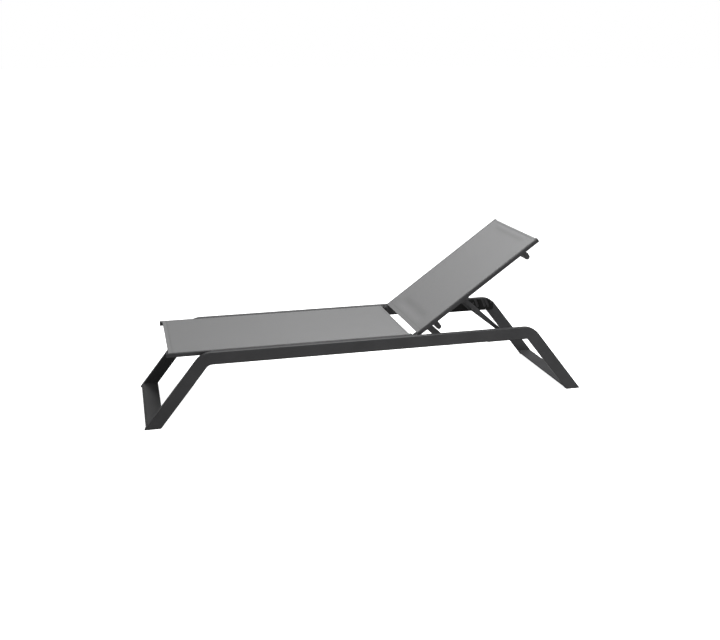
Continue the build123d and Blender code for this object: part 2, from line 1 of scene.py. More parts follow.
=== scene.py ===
"""Reclining sun lounger: slings, stitching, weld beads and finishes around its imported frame, in metres.

+X runs to the head end, +Y to the lying person's right and +Z up.
"""
import json
import logging
import math
from dataclasses import dataclass, field
from enum import Enum

import bmesh
import bpy
import numpy as np
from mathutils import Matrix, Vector


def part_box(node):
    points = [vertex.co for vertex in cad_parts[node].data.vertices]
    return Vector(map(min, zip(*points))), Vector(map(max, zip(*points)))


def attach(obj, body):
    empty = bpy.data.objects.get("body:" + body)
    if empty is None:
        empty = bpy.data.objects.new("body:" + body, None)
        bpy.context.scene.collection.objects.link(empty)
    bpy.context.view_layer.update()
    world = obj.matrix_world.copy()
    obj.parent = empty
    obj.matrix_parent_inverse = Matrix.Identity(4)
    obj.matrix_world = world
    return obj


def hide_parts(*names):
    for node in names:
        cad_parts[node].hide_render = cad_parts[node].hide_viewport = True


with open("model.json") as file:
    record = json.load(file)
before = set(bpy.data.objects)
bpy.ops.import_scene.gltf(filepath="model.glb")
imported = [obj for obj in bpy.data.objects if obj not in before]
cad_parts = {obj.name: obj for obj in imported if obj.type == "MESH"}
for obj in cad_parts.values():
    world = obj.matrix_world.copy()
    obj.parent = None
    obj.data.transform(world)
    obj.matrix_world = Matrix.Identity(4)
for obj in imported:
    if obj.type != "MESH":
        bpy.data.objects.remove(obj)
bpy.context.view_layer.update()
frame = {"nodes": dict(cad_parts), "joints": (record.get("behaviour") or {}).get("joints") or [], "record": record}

LOG = logging.getLogger("lounger")
MM = 0.001
CLOTH_MAP = "cloth"
# Masks of painted light: the seam mask paints shade in stitch grooves and along hem folds, the shade and lit masks
# paint bands of shade and light
SEAM_SHADE_MASK = "seam"
SHADE_MASK = "shade"
LIT_MASK = "lit"
TONE_SPAN = (0.35, 0.65)            # where most of a grain's tones lie
GLOSS_SPAN = (0.3, 0.7)
UNDER = 0.55                        # height of a thread that goes under, against one on top
WHITE = (1.0, 1.0, 1.0, 1.0)
Array = np.ndarray
Socket = bpy.types.NodeSocket
Colour = tuple[float, float, float]


class Body(Enum):
    """Moving bodies of the frame."""

    FRAME = "frame"
    BACKREST = "backrest"
    PROP = "prop"


class Slot(Enum):
    """Material slots of the record."""

    PAINT = "frame_paint"
    MESH = "sling_mesh"
    PLASTIC = "black_plastic"
    GREY = "grey_plastic"
    STEEL = "bright_steel"


# ---- meshes ---------------------------------------------------------------------------------


def grid_quads(rows: int, cols: int, ring_rows: bool = False, ring_cols: bool = False) -> Array:
    """Quads of a grid of points: each point with its next row and next column.

    Args:
        rows: Points one way.
        cols: Points the other way.
        ring_rows: Whether the last row joins the first.
        ring_cols: Whether the last column joins the first.

    Returns:
        Point numbers, four to a face.
    """
    row, col = np.meshgrid(
        np.arange(rows if ring_rows else rows - 1), np.arange(cols if ring_cols else cols - 1), indexing="ij"
    )
    row_next, col_next = (row + 1) % rows, (col + 1) % cols
    corners = [row * cols + col, row_next * cols + col, row_next * cols + col_next, row * cols + col_next]
    return np.stack(corners, axis=-1).reshape(-1, 4)


def new_piece(name: str, points: Array, faces: list[list[int]], body: Body,
              material: bpy.types.Material) -> bpy.types.Object:
    """Make a closed smooth mesh, face it outwards, and hang it on a body.

    Args:
        name: Name of the piece.
        points: Points in the row frame, any shape that ends in 3.
        faces: Point numbers of each face.
        body: Body that the piece rides on.
        material: Its material.

    Returns:
        The new object, at the origin.
    """
    mesh = bpy.data.meshes.new(name)
    mesh.from_pydata(points.reshape(-1, 3).tolist(), [], faces)
    work = bmesh.new()
    work.from_mesh(mesh)
    bmesh.ops.recalc_face_normals(work, faces=work.faces)
    work.to_mesh(mesh)
    work.free()
    mesh.polygons.foreach_set("use_smooth", np.ones(len(mesh.polygons), dtype=bool))
    mesh.materials.append(material)
    piece = bpy.data.objects.new(name, mesh)
    bpy.context.scene.collection.objects.link(piece)
    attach(piece, body.value)
    LOG.info("%s: %d points on %s", name, len(mesh.vertices), body.value)
    return piece


def set_uv(mesh: bpy.types.Mesh, name: str, uv: Array) -> None:
    """Give each corner of a mesh the two values of its point, in metres of cloth.

    Args:
        mesh: Mesh to map.
        name: Name of the map.
        uv: Two values for each point.
    """
    corners = np.empty(len(mesh.loops), dtype=np.int32)
    mesh.loops.foreach_get("vertex_index", corners)
    mesh.uv_layers.new(name=name).data.foreach_set("uv", uv[corners].astype(np.float32).ravel())


def set_mask(mesh: bpy.types.Mesh, name: str, values: Array) -> None:
    """Store one value for each point of a mesh.

    Args:
        mesh: Mesh to mark.
        name: Name of the attribute.
        values: One value for each point.
    """
    mesh.attributes.new(name, "FLOAT", "POINT").data.foreach_set("value", values.astype(np.float32).ravel())


def arc(centre: tuple[float, float], radius: float, start: float, end: float, count: int) -> Array:
    """Points on a circle: centre plus radius times cosine and sine of each angle in degrees.

    Args:
        centre: Middle of the circle.
        radius: Its radius.
        start: First angle.
        end: Last angle.
        count: Number of points.

    Returns:
        The points, two values each.
    """
    angle = np.radians(np.linspace(start, end, count))
    return np.stack([centre[0] + radius * np.cos(angle), centre[1] + radius * np.sin(angle)], axis=1)


# ---- node trees -----------------------------------------------------------------------------


class Tree:
    """Short words for building one node tree."""

    def __init__(self, tree: bpy.types.NodeTree) -> None:
        """Start from an empty tree."""
        self.tree = tree
        tree.nodes.clear()

    def put(self, socket: Socket, value: object) -> None:
        """Link a socket to a socket, or set its value."""
        if isinstance(value, bpy.types.NodeSocket):
            self.tree.links.new(value, socket)
        else:
            socket.default_value = value

    def node(self, kind: str, values: dict | None = None, **options: object) -> bpy.types.Node:
        """Add a node, with values or links for its inputs and options for the node itself.

        Args:
            kind: Type of the node.
            values: Value or socket for each named input.
            options: Settings of the node.

        Returns:
            The new node.
        """
        node = self.tree.nodes.new(kind)
        for name, option in options.items():
            setattr(node, name, option)
        for key, value in (values or {}).items():
            self.put(node.inputs[key], value)
        return node

    def math(self, operation: str, a: object, b: object = 0.0, clamp: bool = False) -> Socket:
        """Result of one sum on two values.

        Args:
            operation: Name of the sum.
            a: First value or socket.
            b: Second value or socket.
            clamp: Whether to hold the result between 0 and 1.

        Returns:
            The result's socket.
        """
        return self.node("ShaderNodeMath", {0: a, 1: b}, operation=operation, use_clamp=clamp).outputs[0]

    def noise(self, vector: Socket, scale: object, detail: float = 2.0) -> Socket:
        """Soft noise from 0 to 1, about `scale` humps to the metre."""
        values = {"Vector": vector, "Scale": scale, "Detail": detail}
        return self.node("ShaderNodeTexNoise", values).outputs["Fac"]

    def fit(self, value: Socket, source: tuple[float, float], target: tuple[object, object]) -> Socket:
        """Value moved from one range to another, and held within it.

        Args:
            value: Socket to move.
            source: Range it comes in.
            target: Range it goes to.

        Returns:
            The moved value's socket.
        """
        values = {"Value": value, "From Min": source[0], "From Max": source[1],
                  "To Min": target[0], "To Max": target[1]}
        return self.node("ShaderNodeMapRange", values).outputs["Result"]

    def mix(self, share: Socket, low: object, high: object) -> Socket:
        """Mix of two colours with alpha, or of two colour sockets."""
        share_input, low_input, high_input, colour_output = 0, 6, 7, 2
        values = {share_input: share, low_input: low, high_input: high}
        return self.node("ShaderNodeMix", values, data_type="RGBA").outputs[colour_output]

    def blend(self, share: Socket, low: Colour, high: Colour) -> Socket:
        """Colour between two plain colours."""
        return self.mix(share, (*low, 1.0), (*high, 1.0))

    def bump(self, height: Socket, depth: float, normal: Socket | None = None) -> Socket:
        """Normal of a surface raised by height times depth.

        Args:
            height: Height from 0 to 1.
            depth: Metres for a height of 1.
            normal: Normal to start from, if not the surface's own.

        Returns:
            The normal's socket.
        """
        values = {"Strength": 1.0, "Distance": depth, "Height": height}
        if normal is not None:
            values["Normal"] = normal
        return self.node("ShaderNodeBump", values).outputs["Normal"]

    def group(self, shared: bpy.types.NodeTree, values: dict) -> bpy.types.Node:
        """Place a shared group with its own values."""
        node = self.node("ShaderNodeGroup", node_tree=shared)
        for key, value in values.items():
            self.put(node.inputs[key], value)
        return node


def new_group(name: str, inputs: dict[str, float],
              outputs: tuple[str, ...]) -> tuple[Tree, dict, bpy.types.Node]:
    """Start a shared shader group of plain values.

    Args:
        name: Name of the group.
        inputs: Its inputs with their usual values.
        outputs: Its outputs.

    Returns:
        The tree to build in, its inputs by name, and its output node.
    """
    shared = bpy.data.node_groups.new(name, "ShaderNodeTree")
    for label, value in inputs.items():
        socket = shared.interface.new_socket(name=label, in_out="INPUT", socket_type="NodeSocketFloat")
        socket.default_value = value
    for label in outputs:
        shared.interface.new_socket(name=label, in_out="OUTPUT", socket_type="NodeSocketFloat")
    tree = Tree(shared)
    source = tree.node("NodeGroupInput")
    return tree, {label: source.outputs[label] for label in inputs}, tree.node("NodeGroupOutput")


def grain_group() -> bpy.types.NodeTree:
    """Fine surface grain: soft orange peel with sharper specks on it, and slow drifts of tone."""
    tree, given, out = new_group("surface_grain", {"Peel": 700.0, "Speck": 2400.0, "Drift": 9.0},
                                 ("Height", "Tone"))
    place = tree.node("ShaderNodeTexCoord").outputs["Object"]
    peel = tree.noise(place, given["Peel"], 1.0)
    speck = tree.noise(place, given["Speck"], 2.0)
    drift = tree.noise(place, given["Drift"], 3.0)
    speck_height, drift_share, speck_share = 0.45, 0.6, 0.4
    height = tree.math("ADD", peel, tree.math("MULTIPLY", speck, speck_height))
    tone = tree.math("ADD", tree.math("MULTIPLY", drift, drift_share),
                     tree.math("MULTIPLY", speck, speck_share))
    tree.put(out.inputs["Height"], height)
    tree.put(out.inputs["Tone"], tone)
    return out.id_data


def edge_group() -> bpy.types.NodeTree:
    """Rubbed edges: where a rounded normal leaves the true one, broken up by noise."""
    tree, given, out = new_group("rubbed_edges", {"Breadth": 1.5 * MM, "Patches": 60.0}, ("Mask",))
    rounded = tree.node("ShaderNodeBevel", {"Radius": given["Breadth"]}, samples=4).outputs["Normal"]
    true = tree.node("ShaderNodeNewGeometry").outputs["Normal"]
    same = tree.node("ShaderNodeVectorMath", {0: rounded, 1: true}, operation="DOT_PRODUCT").outputs["Value"]
    on_flat, on_edge = 0.995, 0.86
    edge = tree.fit(same, (on_flat, on_edge), (0.0, 1.0))
    place = tree.node("ShaderNodeTexCoord").outputs["Object"]
    noise_span, least_wear = (0.38, 0.62), 0.25
    patches = tree.fit(tree.noise(place, given["Patches"], 4.0), noise_span, (least_wear, 1.0))
    tree.put(out.inputs["Mask"], tree.math("MULTIPLY", edge, patches, clamp=True))
    return out.id_data


def weave_group() -> bpy.types.NodeTree:
    """Plain weave on the cloth's own map: round threads both ways, each over and under the next."""
    tree, given, out = new_group("plain_weave", {"Pitch": 1.3 * MM}, ("Height", "Thread"))
    cloth = tree.node("ShaderNodeUVMap", uv_map=CLOTH_MAP).outputs["UV"]
    split = tree.node("ShaderNodeSeparateXYZ", {"Vector": cloth})
    across = tree.math("DIVIDE", split.outputs["X"], given["Pitch"])
    along = tree.math("DIVIDE", split.outputs["Y"], given["Pitch"])
    warp = tree.math("ABSOLUTE", tree.math("SINE", tree.math("MULTIPLY", across, math.pi)))
    weft = tree.math("ABSOLUTE", tree.math("SINE", tree.math("MULTIPLY", along, math.pi)))
    turn = tree.math("ADD", tree.math("FLOOR", across), tree.math("FLOOR", along))
    over = tree.math("FLOORED_MODULO", turn, 2.0)
    warp_on_top = tree.math("MULTIPLY", warp, tree.fit(over, (0.0, 1.0), (UNDER, 1.0)))
    weft_on_top = tree.math("MULTIPLY", weft, tree.fit(over, (0.0, 1.0), (1.0, UNDER)))
    cell = {"X": tree.math("FLOOR", across), "Y": tree.math("FLOOR", along)}
    number = tree.node("ShaderNodeCombineXYZ", cell)
    thread = tree.node("ShaderNodeTexWhiteNoise", {"Vector": number.outputs[0]}, noise_dimensions="2D")
    tree.put(out.inputs["Height"], tree.math("MAXIMUM", warp_on_top, weft_on_top))
    tree.put(out.inputs["Thread"], thread.outputs["Value"])
    return out.id_data


# ---- finishes -------------------------------------------------------------------------------


@dataclass
class Groups:
    """Shader groups that several finishes share."""

    grain: bpy.types.NodeTree = field(default_factory=grain_group)
    edges: bpy.types.NodeTree = field(default_factory=edge_group)
    weave: bpy.types.NodeTree = field(default_factory=weave_group)


def start_material(name: str) -> tuple[bpy.types.Material, Tree, bpy.types.Node]:
    """New material with a Principled surface.

    Args:
        name: Name of the material.

    Returns:
        The material, its tree and its surface node.
    """
    material = bpy.data.materials.new(name)
    material.use_nodes = True
    tree = Tree(material.node_tree)
    surface = tree.node("ShaderNodeBsdfPrincipled")
    tree.node("ShaderNodeOutputMaterial", {"Surface": surface.outputs["BSDF"]})
    return material, tree, surface


@dataclass(frozen=True)
class Coating:
    """A paint or moulded plastic: grained, slightly uneven in tone, and rubbed at its edges."""

    name: str
    dark: Colour
    light: Colour
    worn: Colour
    gloss: tuple[float, float]      # roughness where smooth and where dull
    peel: float                     # humps to the metre
    speck: float
    depth: float                    # height of the grain
    wear_breadth: float
    shine: float = 0.5              # specular level

    def make(self, groups: Groups) -> bpy.types.Material:
        """Build the material."""
        material, tree, surface = start_material(self.name)
        grain = tree.group(groups.grain, {"Peel": self.peel, "Speck": self.speck})
        wear = tree.group(groups.edges, {"Breadth": self.wear_breadth}).outputs["Mask"]
        tone = tree.fit(grain.outputs["Tone"], TONE_SPAN, (0.0, 1.0))
        paint = tree.blend(tone, self.dark, self.light)
        tree.put(surface.inputs["Base Color"], tree.mix(wear, paint, (*self.worn, 1.0)))
        surface.inputs["Specular IOR Level"].default_value = self.shine
        tree.put(surface.inputs["Roughness"], tree.fit(grain.outputs["Tone"], GLOSS_SPAN, self.gloss))
        tree.put(surface.inputs["Normal"], tree.bump(grain.outputs["Height"], self.depth))
        return material


@dataclass(frozen=True)
class Steel:
    """Bright steel of bolts and screws, with fine turning marks."""

    name: str = "stainless_steel"
    dark: Colour = (0.42, 0.42, 0.41)
    light: Colour = (0.62, 0.61, 0.59)
    gloss: tuple[float, float] = (0.2, 0.36)
    depth: float = 0.02 * MM

    def make(self, groups: Groups) -> bpy.types.Material:
        """Build the material."""
        material, tree, surface = start_material(self.name)
        grain = tree.group(groups.grain, {"Peel": 1500.0, "Speck": 5200.0})
        tone = tree.fit(grain.outputs["Tone"], TONE_SPAN, (0.0, 1.0))
        tree.put(surface.inputs["Base Color"], tree.blend(tone, self.dark, self.light))
        surface.inputs["Metallic"].default_value = 1.0
        tree.put(surface.inputs["Roughness"], tree.fit(grain.outputs["Tone"], GLOSS_SPAN, self.gloss))
        tree.put(surface.inputs["Normal"], tree.bump(grain.outputs["Height"], self.depth))
        return material


@dataclass(frozen=True)
class CoatedMesh:
    """Coated mesh cloth: plain weave, threads of slightly different grey, with painted shade along its stitch
    lines and hem edges, and painted shade and painted light in soft bands.
    """

    name: str = "sling_cloth"
    dark: Colour = (0.125, 0.1254, 0.1264)
    light: Colour = (0.163, 0.1635, 0.1648)
    # painted shade of the stitch grooves and hem folds
    seam: Colour = (0.06, 0.06, 0.06)
    shade: Colour = (0.104, 0.104, 0.105)
    lit: Colour = (0.185, 0.1855, 0.187)
    pitch: float = 1.3 * MM
    depth: float = 0.22 * MM
    gloss: tuple[float, float] = (0.46, 0.62)
    sheen: float = 0.12
    thread_share: float = 0.45      # how much of the tone comes from the thread, its height and the grain
    height_share: float = 0.35
    grain_share: float = 0.25

    def make(self, groups: Groups) -> bpy.types.Material:
        """Build the material."""
        material, tree, surface = start_material(self.name)
        weave = tree.group(groups.weave, {"Pitch": self.pitch}).outputs
        grain = tree.group(groups.grain, {"Peel": 2500.0, "Speck": 6000.0, "Drift": 5.0}).outputs
        tone = tree.math("ADD", tree.math("MULTIPLY", weave["Thread"], self.thread_share),
                         tree.math("MULTIPLY", weave["Height"], self.height_share))
        tone = tree.math("ADD", tone, tree.math("MULTIPLY", grain["Tone"], self.grain_share), clamp=True)
        cloth = tree.blend(tone, self.dark, self.light)
        # painted shade and light: the shade and lit bands, then the painted shade of stitch grooves and hem folds
        for mask, colour in ((SHADE_MASK, self.shade), (LIT_MASK, self.lit), (SEAM_SHADE_MASK, self.seam)):
            share = tree.node("ShaderNodeAttribute", attribute_name=mask).outputs["Fac"]
            cloth = tree.mix(share, cloth, (*colour, 1.0))
        tree.put(surface.inputs["Base Color"], cloth)
        tree.put(surface.inputs["Roughness"], tree.fit(weave["Height"], (0.0, 1.0), self.gloss[::-1]))
        surface.inputs["Sheen Weight"].default_value = self.sheen
        tree.put(surface.inputs["Normal"], tree.bump(weave["Height"], self.depth))
        return material


@dataclass(frozen=True)
class Thread:
    """Twisted sewing thread."""

    name: str = "sewing_thread"
    dark: Colour = (0.16, 0.16, 0.16)
    light: Colour = (0.3, 0.3, 0.3)
    twists: float = 130.0           # scale of the bands round a stitch
    waver: float = 0.4
    roughness: float = 0.7
    depth: float = 0.05 * MM

    def make(self) -> bpy.types.Material:
        """Build the material: slanting bands round each stitch."""
        material, tree, surface = start_material(self.name)
        place = tree.node("ShaderNodeTexCoord").outputs["Object"]
        values = {"Vector": place, "Scale": self.twists, "Distortion": self.waver}
        twist = tree.node("ShaderNodeTexWave", values, bands_direction="DIAGONAL").outputs["Fac"]
        tree.put(surface.inputs["Base Color"], tree.blend(twist, self.dark, self.light))
        surface.inputs["Roughness"].default_value = self.roughness
        tree.put(surface.inputs["Normal"], tree.bump(twist, self.depth))
        return material


POWDER_COAT = Coating(
    name="anthracite_powder_coat",
    dark=(0.034, 0.034, 0.0354), light=(0.0475, 0.0475, 0.0494), worn=(0.09, 0.09, 0.093),
    gloss=(0.34, 0.46), peel=620.0, speck=2300.0, depth=0.05 * MM, wear_breadth=1.2 * MM,
)
MOULDED_PLASTIC = Coating(
    name="moulded_black_plastic",
    dark=(0.004, 0.004, 0.004), light=(0.009, 0.009, 0.009), worn=(0.03, 0.03, 0.03),
    gloss=(0.5, 0.68), peel=1500.0, speck=4200.0, depth=0.06 * MM, wear_breadth=0.8 * MM, shine=0.25,
)


GREY_PLASTIC = Coating(
    name="moulded_grey_plastic",
    dark=(0.029, 0.029, 0.0302), light=(0.041, 0.041, 0.0426), worn=(0.075, 0.075, 0.077),
    gloss=(0.42, 0.6), peel=1500.0, speck=4200.0, depth=0.06 * MM, wear_breadth=0.8 * MM,
)


@dataclass
class Finishes:
    """Every material of the lounger."""

    paint: bpy.types.Material
    plastic: bpy.types.Material
    grey: bpy.types.Material
    steel: bpy.types.Material
    cloth: bpy.types.Material
    thread: bpy.types.Material

    @classmethod
    def make(cls) -> "Finishes":
        """Build the shared groups, then each finish."""
        groups = Groups()
        return cls(POWDER_COAT.make(groups), MOULDED_PLASTIC.make(groups), GREY_PLASTIC.make(groups),
                   Steel().make(groups), CoatedMesh().make(groups), Thread().make())

    def dress_frame(self) -> None:
        """Give each CAD node the finish of its slot."""
        by_slot = {
            Slot.PAINT.value: self.paint, Slot.PLASTIC.value: self.plastic, Slot.GREY.value: self.grey,
            Slot.STEEL.value: self.steel, Slot.MESH.value: self.cloth,
        }
        for part in frame["record"]["subparts"]:
            for holder in frame["nodes"][part["node"]].material_slots:
                holder.material = by_slot[part["material_slot"]]
            LOG.info("%s: %s", part["node"], part["material_slot"])


# ---- slings ---------------------------------------------------------------------------------


@dataclass(frozen=True)
class Place:
    """Frame of a sling: an origin in the X-Z plane and a tilt about Y."""

    x: float
    z: float
    tilt: float

    def world(self, along: Array, across: Array, height: Array) -> Array:
        """Points in the row frame: the origin plus the tilted length and height directions.

        Args:
            along: Distances along the tilt.
            across: Distances along Y.
            height: Heights over the tilted plane.

        Returns:
            The points, any shape that ends in 3.
        """
        cos, sin = math.cos(self.tilt), math.sin(self.tilt)
        along, across, height = np.broadcast_arrays(along, across, height)
        points = [self.x + along * cos - height * sin, across, self.z + along * sin + height * cos]
        return np.stack(points, axis=-1)

    def extent(self, node: str) -> tuple[float, float, float, float]:
        """Start, end, low and high of a node that is a tilted box, from its upright box.

        Each side of the upright box is one corner of the tilted one, which gives four sums for the
        four unknowns.

        Args:
            node: Name of the node.

        Returns:
            Start and end along the tilt, then the low and the high side across it.
        """
        low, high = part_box(node)
        cos, sin = math.cos(self.tilt), math.sin(self.tilt)
        sums = np.array([[cos, 0, 0, -sin], [0, cos, -sin, 0], [sin, 0, cos, 0], [0, sin, 0, cos]])
        sides = [low.x - self.x, high.x - self.x, low.z - self.z, high.z - self.z]
        start, end, bottom, top = np.linalg.solve(sums, sides)
        return start, end, bottom, top


@dataclass(frozen=True)
class Band:
    """A soft band across a sling, darker or lighter than the cloth around it."""

    mask: str
    at: float                       # from the sling's start; below zero, from its end
    breadth: float
    strength: float
    reach: float = 0.2              # half its length

    def share(self, along: Array, across: Array) -> Array:
        """Strength at each point: a bell along the sling, fading out towards the band's ends.

        Args:
            along: Distances from the band's origin.
            across: Distances from the sling's middle.

        Returns:
            The strength at each point.
        """
        fade = np.clip((self.reach - np.abs(across)) / (self.reach / 3), 0.0, 1.0)
        return self.strength * np.exp(-((along - self.at) / self.breadth) ** 2) * fade


@dataclass
class Sling:
    """A taut sling over two tubes, its sides turned into their grooves and its ends hemmed."""

    name: str
    body: Body
    place: Place
    hems: tuple[float, float]       # breadth of the hem at its start and at its end
    bands: tuple[Band, ...]
    cloth: float = 0.5 * MM
    gap: float = 0.05 * MM
    tube_edge: float = 2.5 * MM
    groove_in: float = 7.5 * MM     # from the tube's outer face to the groove's middle
    groove_wide: float = 5.0 * MM
    groove_deep: float = 6.0 * MM
    keder: float = 1.9 * MM
    sag: float = 2.2 * MM
    end_dip: float = 0.4 * MM
    end_reach: float = 60 * MM      # over which the sag grows from an end
    waves: tuple[float, float] = (0.31, 0.17)
    wave_height: float = 0.12 * MM
    pull_in: float = 0.35 * MM
    pull_reach: float = 110 * MM
    hem_step: float = 0.5 * MM      # over which the doubled cloth ends
    seam_in: float = 3.0 * MM       # stitch line from the hem's edge
    seam_dent: float = 0.22 * MM
    seam_wide: float = 0.8 * MM
    line_wide: float = 0.9 * MM     # painted shade lines of the stitch groove and the hem's folded edge
    stitch_shade: float = 0.8
    edge_shade: float = 0.5
    lip_fade: float = 1.5 * MM      # over which the hem thins out before the groove
    blunt: float = 0.97             # how far the rounding of an end goes
    free_points: int = 34
    tube_points: int = 8
    turn_points: int = 6
    keder_points: int = 20
    stitch: float = 3.2 * MM
    stitch_gap: float = 1.0 * MM
    thread: float = 0.32 * MM       # half its thickness
    stitch_tip: float = 0.98        # where a spindle is cut off, as a share of its half length
    stitch_rings: int = 7
    stitch_sides: int = 6
    stitch_dip: float = 0.35 * MM
    stitch_lift: float = 1.15       # in thicknesses of the cloth

    def __post_init__(self) -> None:
        """Read the sling's and tubes' places from the frame."""
        self.start, self.end = self.place.extent(f"{self.name}_sling")[:2]
        tube = f"right_{self.name}_tube"
        self.tube_top = self.place.extent(tube)[3]
        self.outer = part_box(tube)[1].y
        self.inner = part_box(tube)[0].y + self.tube_edge
        self.groove = self.outer - self.groove_in
        self.groove_edge = self.groove - self.groove_wide / 2
        self.offset = self.gap + self.cloth / 2

    def free(self, across: Array) -> Array:
        """Share of the free span: 1 in the middle, 0 from the tubes outwards."""
        return np.clip(1.0 - (across / self.inner) ** 2, 0.0, None)

    def end_distance(self, along: Array) -> Array:
        """Distance to the nearer end."""
        return np.minimum(along - self.start, self.end - along)

    def hem_here(self, along: Array) -> Array:
        """Breadth of the hem at the nearer end."""
        return np.where(along < (self.start + self.end) / 2, *self.hems)

    def lowering(self, along: Array, across: Array) -> Array:
        """Depth of the cloth below the tubes' tops: a parabola, shallow at the ends, with slow waves.

        Args:
            along: Places along the sling.
            across: Places across it.

        Returns:
            The depth at each point.
        """
        near_end = np.exp(-self.end_distance(along) / self.end_reach)
        sag = self.sag * (1.0 - near_end) + self.end_dip * near_end
        long, short = self.waves
        waves = np.sin(2 * math.pi * (along / long + 0.8 * across))
        waves = waves + np.sin(2 * math.pi * (along / short - across))
        return (sag + self.wave_height * waves) * self.free(across)

    def profile(self) -> Array:
        """Middle line of the cloth from one groove to the other: across and height.

        From the middle it runs flat over a tube, turns down into the groove and goes round the
        keder. The other half is its mirror image.

        Returns:
            The points, across and height.
        """
        top = self.tube_top + self.offset
        keder_at = (self.groove, self.tube_top - self.groove_deep / 2)
        wrap = self.keder + self.cloth / 2 + self.gap
        free = np.linspace(0.0, self.inner, self.free_points)
        on_tube = np.linspace(self.inner + MM, self.groove_edge - MM / 2, self.tube_points)
        across = np.concatenate([free, on_tube])
        flat = np.stack([across, np.full_like(across, top)], axis=1)
        turn = arc((self.groove_edge, self.tube_top), self.offset, 90, 0, self.turn_points)
        round_keder = arc(keder_at, wrap, 180, 420, self.keder_points)
        half = np.concatenate([flat, turn, round_keder])
        return np.concatenate([half[:0:-1] * [-1, 1], half])

    def lengths(self) -> Array:
        """Places along the sling: close together at the hems, wider between."""
        rim, hem = np.array([0.0, 0.04, 0.15, 0.32, 0.6]), np.arange(1.0, 30.0, 0.75)
        close = np.concatenate([rim, hem]) * MM
        past_hem, spacing = 34 * MM, 9 * MM
        count = round((self.end - self.start) / spacing)
        middle = np.linspace(self.start + past_hem, self.end - past_hem, count)
        return np.concatenate([self.start + close, middle, self.end - close[::-1]])

    def build(self, finishes: Finishes) -> None:
        """The cloth is a closed loop, its upper side out and its lower side back, carried along the
        profile: a point is the profile's point plus its normal times the loop's height.

        Args:
            finishes: Materials of the lounger.
        """
        line = self.profile()
        step = np.gradient(line, axis=0)
        step /= np.linalg.norm(step, axis=1, keepdims=True)
        run = np.concatenate([[0.0], np.cumsum(np.linalg.norm(np.diff(line, axis=0), axis=1))])
        along = self.lengths()
        inside = np.clip(1.0 - self.end_distance(along) / self.cloth, 0.0, self.blunt)
        rounding = np.sqrt(1.0 - inside ** 2)
        across, up = line[:, :1], line[:, 1:]
        distance, hem_edge = self.end_distance(along), self.hem_here(along)
        on_top = np.clip((self.groove_edge - np.abs(across)) / self.lip_fade, 0.0, 1.0)
        doubled = on_top / (1.0 + np.exp((distance - hem_edge) / self.hem_step))
        dent = self.seam_dent * on_top
        dent = dent * np.exp(-((distance - hem_edge + self.seam_in) / self.seam_wide) ** 2)
        middle = self.cloth * doubled / 2
        half = self.cloth * (1 + doubled) / 2 * rounding
        height = np.concatenate([middle + half - dent, (middle - half)[:, ::-1]], axis=1)
        loop = np.concatenate([along, along[::-1]])
        points = self.place.world(
            loop + self.pulled(loop, across), across - step[:, 1:] * height,
            up + step[:, :1] * height - self.lowering(loop, across),
        )
        rows, cols = len(line), len(loop)
        faces = grid_quads(rows, cols, ring_cols=True)
        near = np.arange(len(along) - 1)
        cap = np.stack([near, near + 1, cols - 2 - near, cols - 1 - near], axis=1)
        faces = np.concatenate([faces, cap, cap + (rows - 1) * cols])
        piece = new_piece(f"{self.name}_sling_cloth", points, faces.tolist(), self.body,
                          finishes.cloth)
        ones = np.ones((rows, cols))
        set_uv(piece.data, CLOTH_MAP, np.stack([run[:, None] * ones, loop * ones], axis=-1).reshape(-1, 2))
        # painted shade: a dark line in the stitch groove and another along the hem's folded edge
        from_hem = self.end_distance(loop) - self.hem_here(loop)
        lines = self.stitch_shade * np.exp(-((from_hem + self.seam_in) / self.line_wide) ** 2)
        lines = lines + self.edge_shade * np.exp(-(from_hem / self.line_wide) ** 2)
        set_mask(piece.data, SEAM_SHADE_MASK, np.clip(lines, 0, 1) * ones)
        for mask in (SHADE_MASK, LIT_MASK):
            set_mask(piece.data, mask, self.banded(mask, loop, across))
        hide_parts(f"{self.name}_sling")
        stitches = self.sew(finishes)

    def pulled(self, along: Array, across: Array) -> Array:
        """How far a free end is drawn in towards the sling's middle.

        Args:
            along: Places along the sling.
            across: Places across it.

        Returns:
            The shift along the sling.
        """
        middle = (self.start + self.end) / 2
        return np.sign(middle - along) * self.pull_in * self.free(across) * np.exp(
            -self.end_distance(along) / self.pull_reach)

    def banded(self, mask: str, along: Array, across: Array) -> Array:
        """Sum of the bands of one mask.

        Args:
            mask: Name of the mask.
            along: Places along the sling.
            across: Places across it.

        Returns:
            A value from 0 to 1 at each point.
        """
        total = np.zeros(np.broadcast_shapes(along.shape, across.shape))
        for band in self.bands:
            if band.mask == mask:
                origin = self.start if band.at > 0 else self.end
                total = total + band.share(along - origin, across)
        return np.clip(total, 0.0, 1.0)

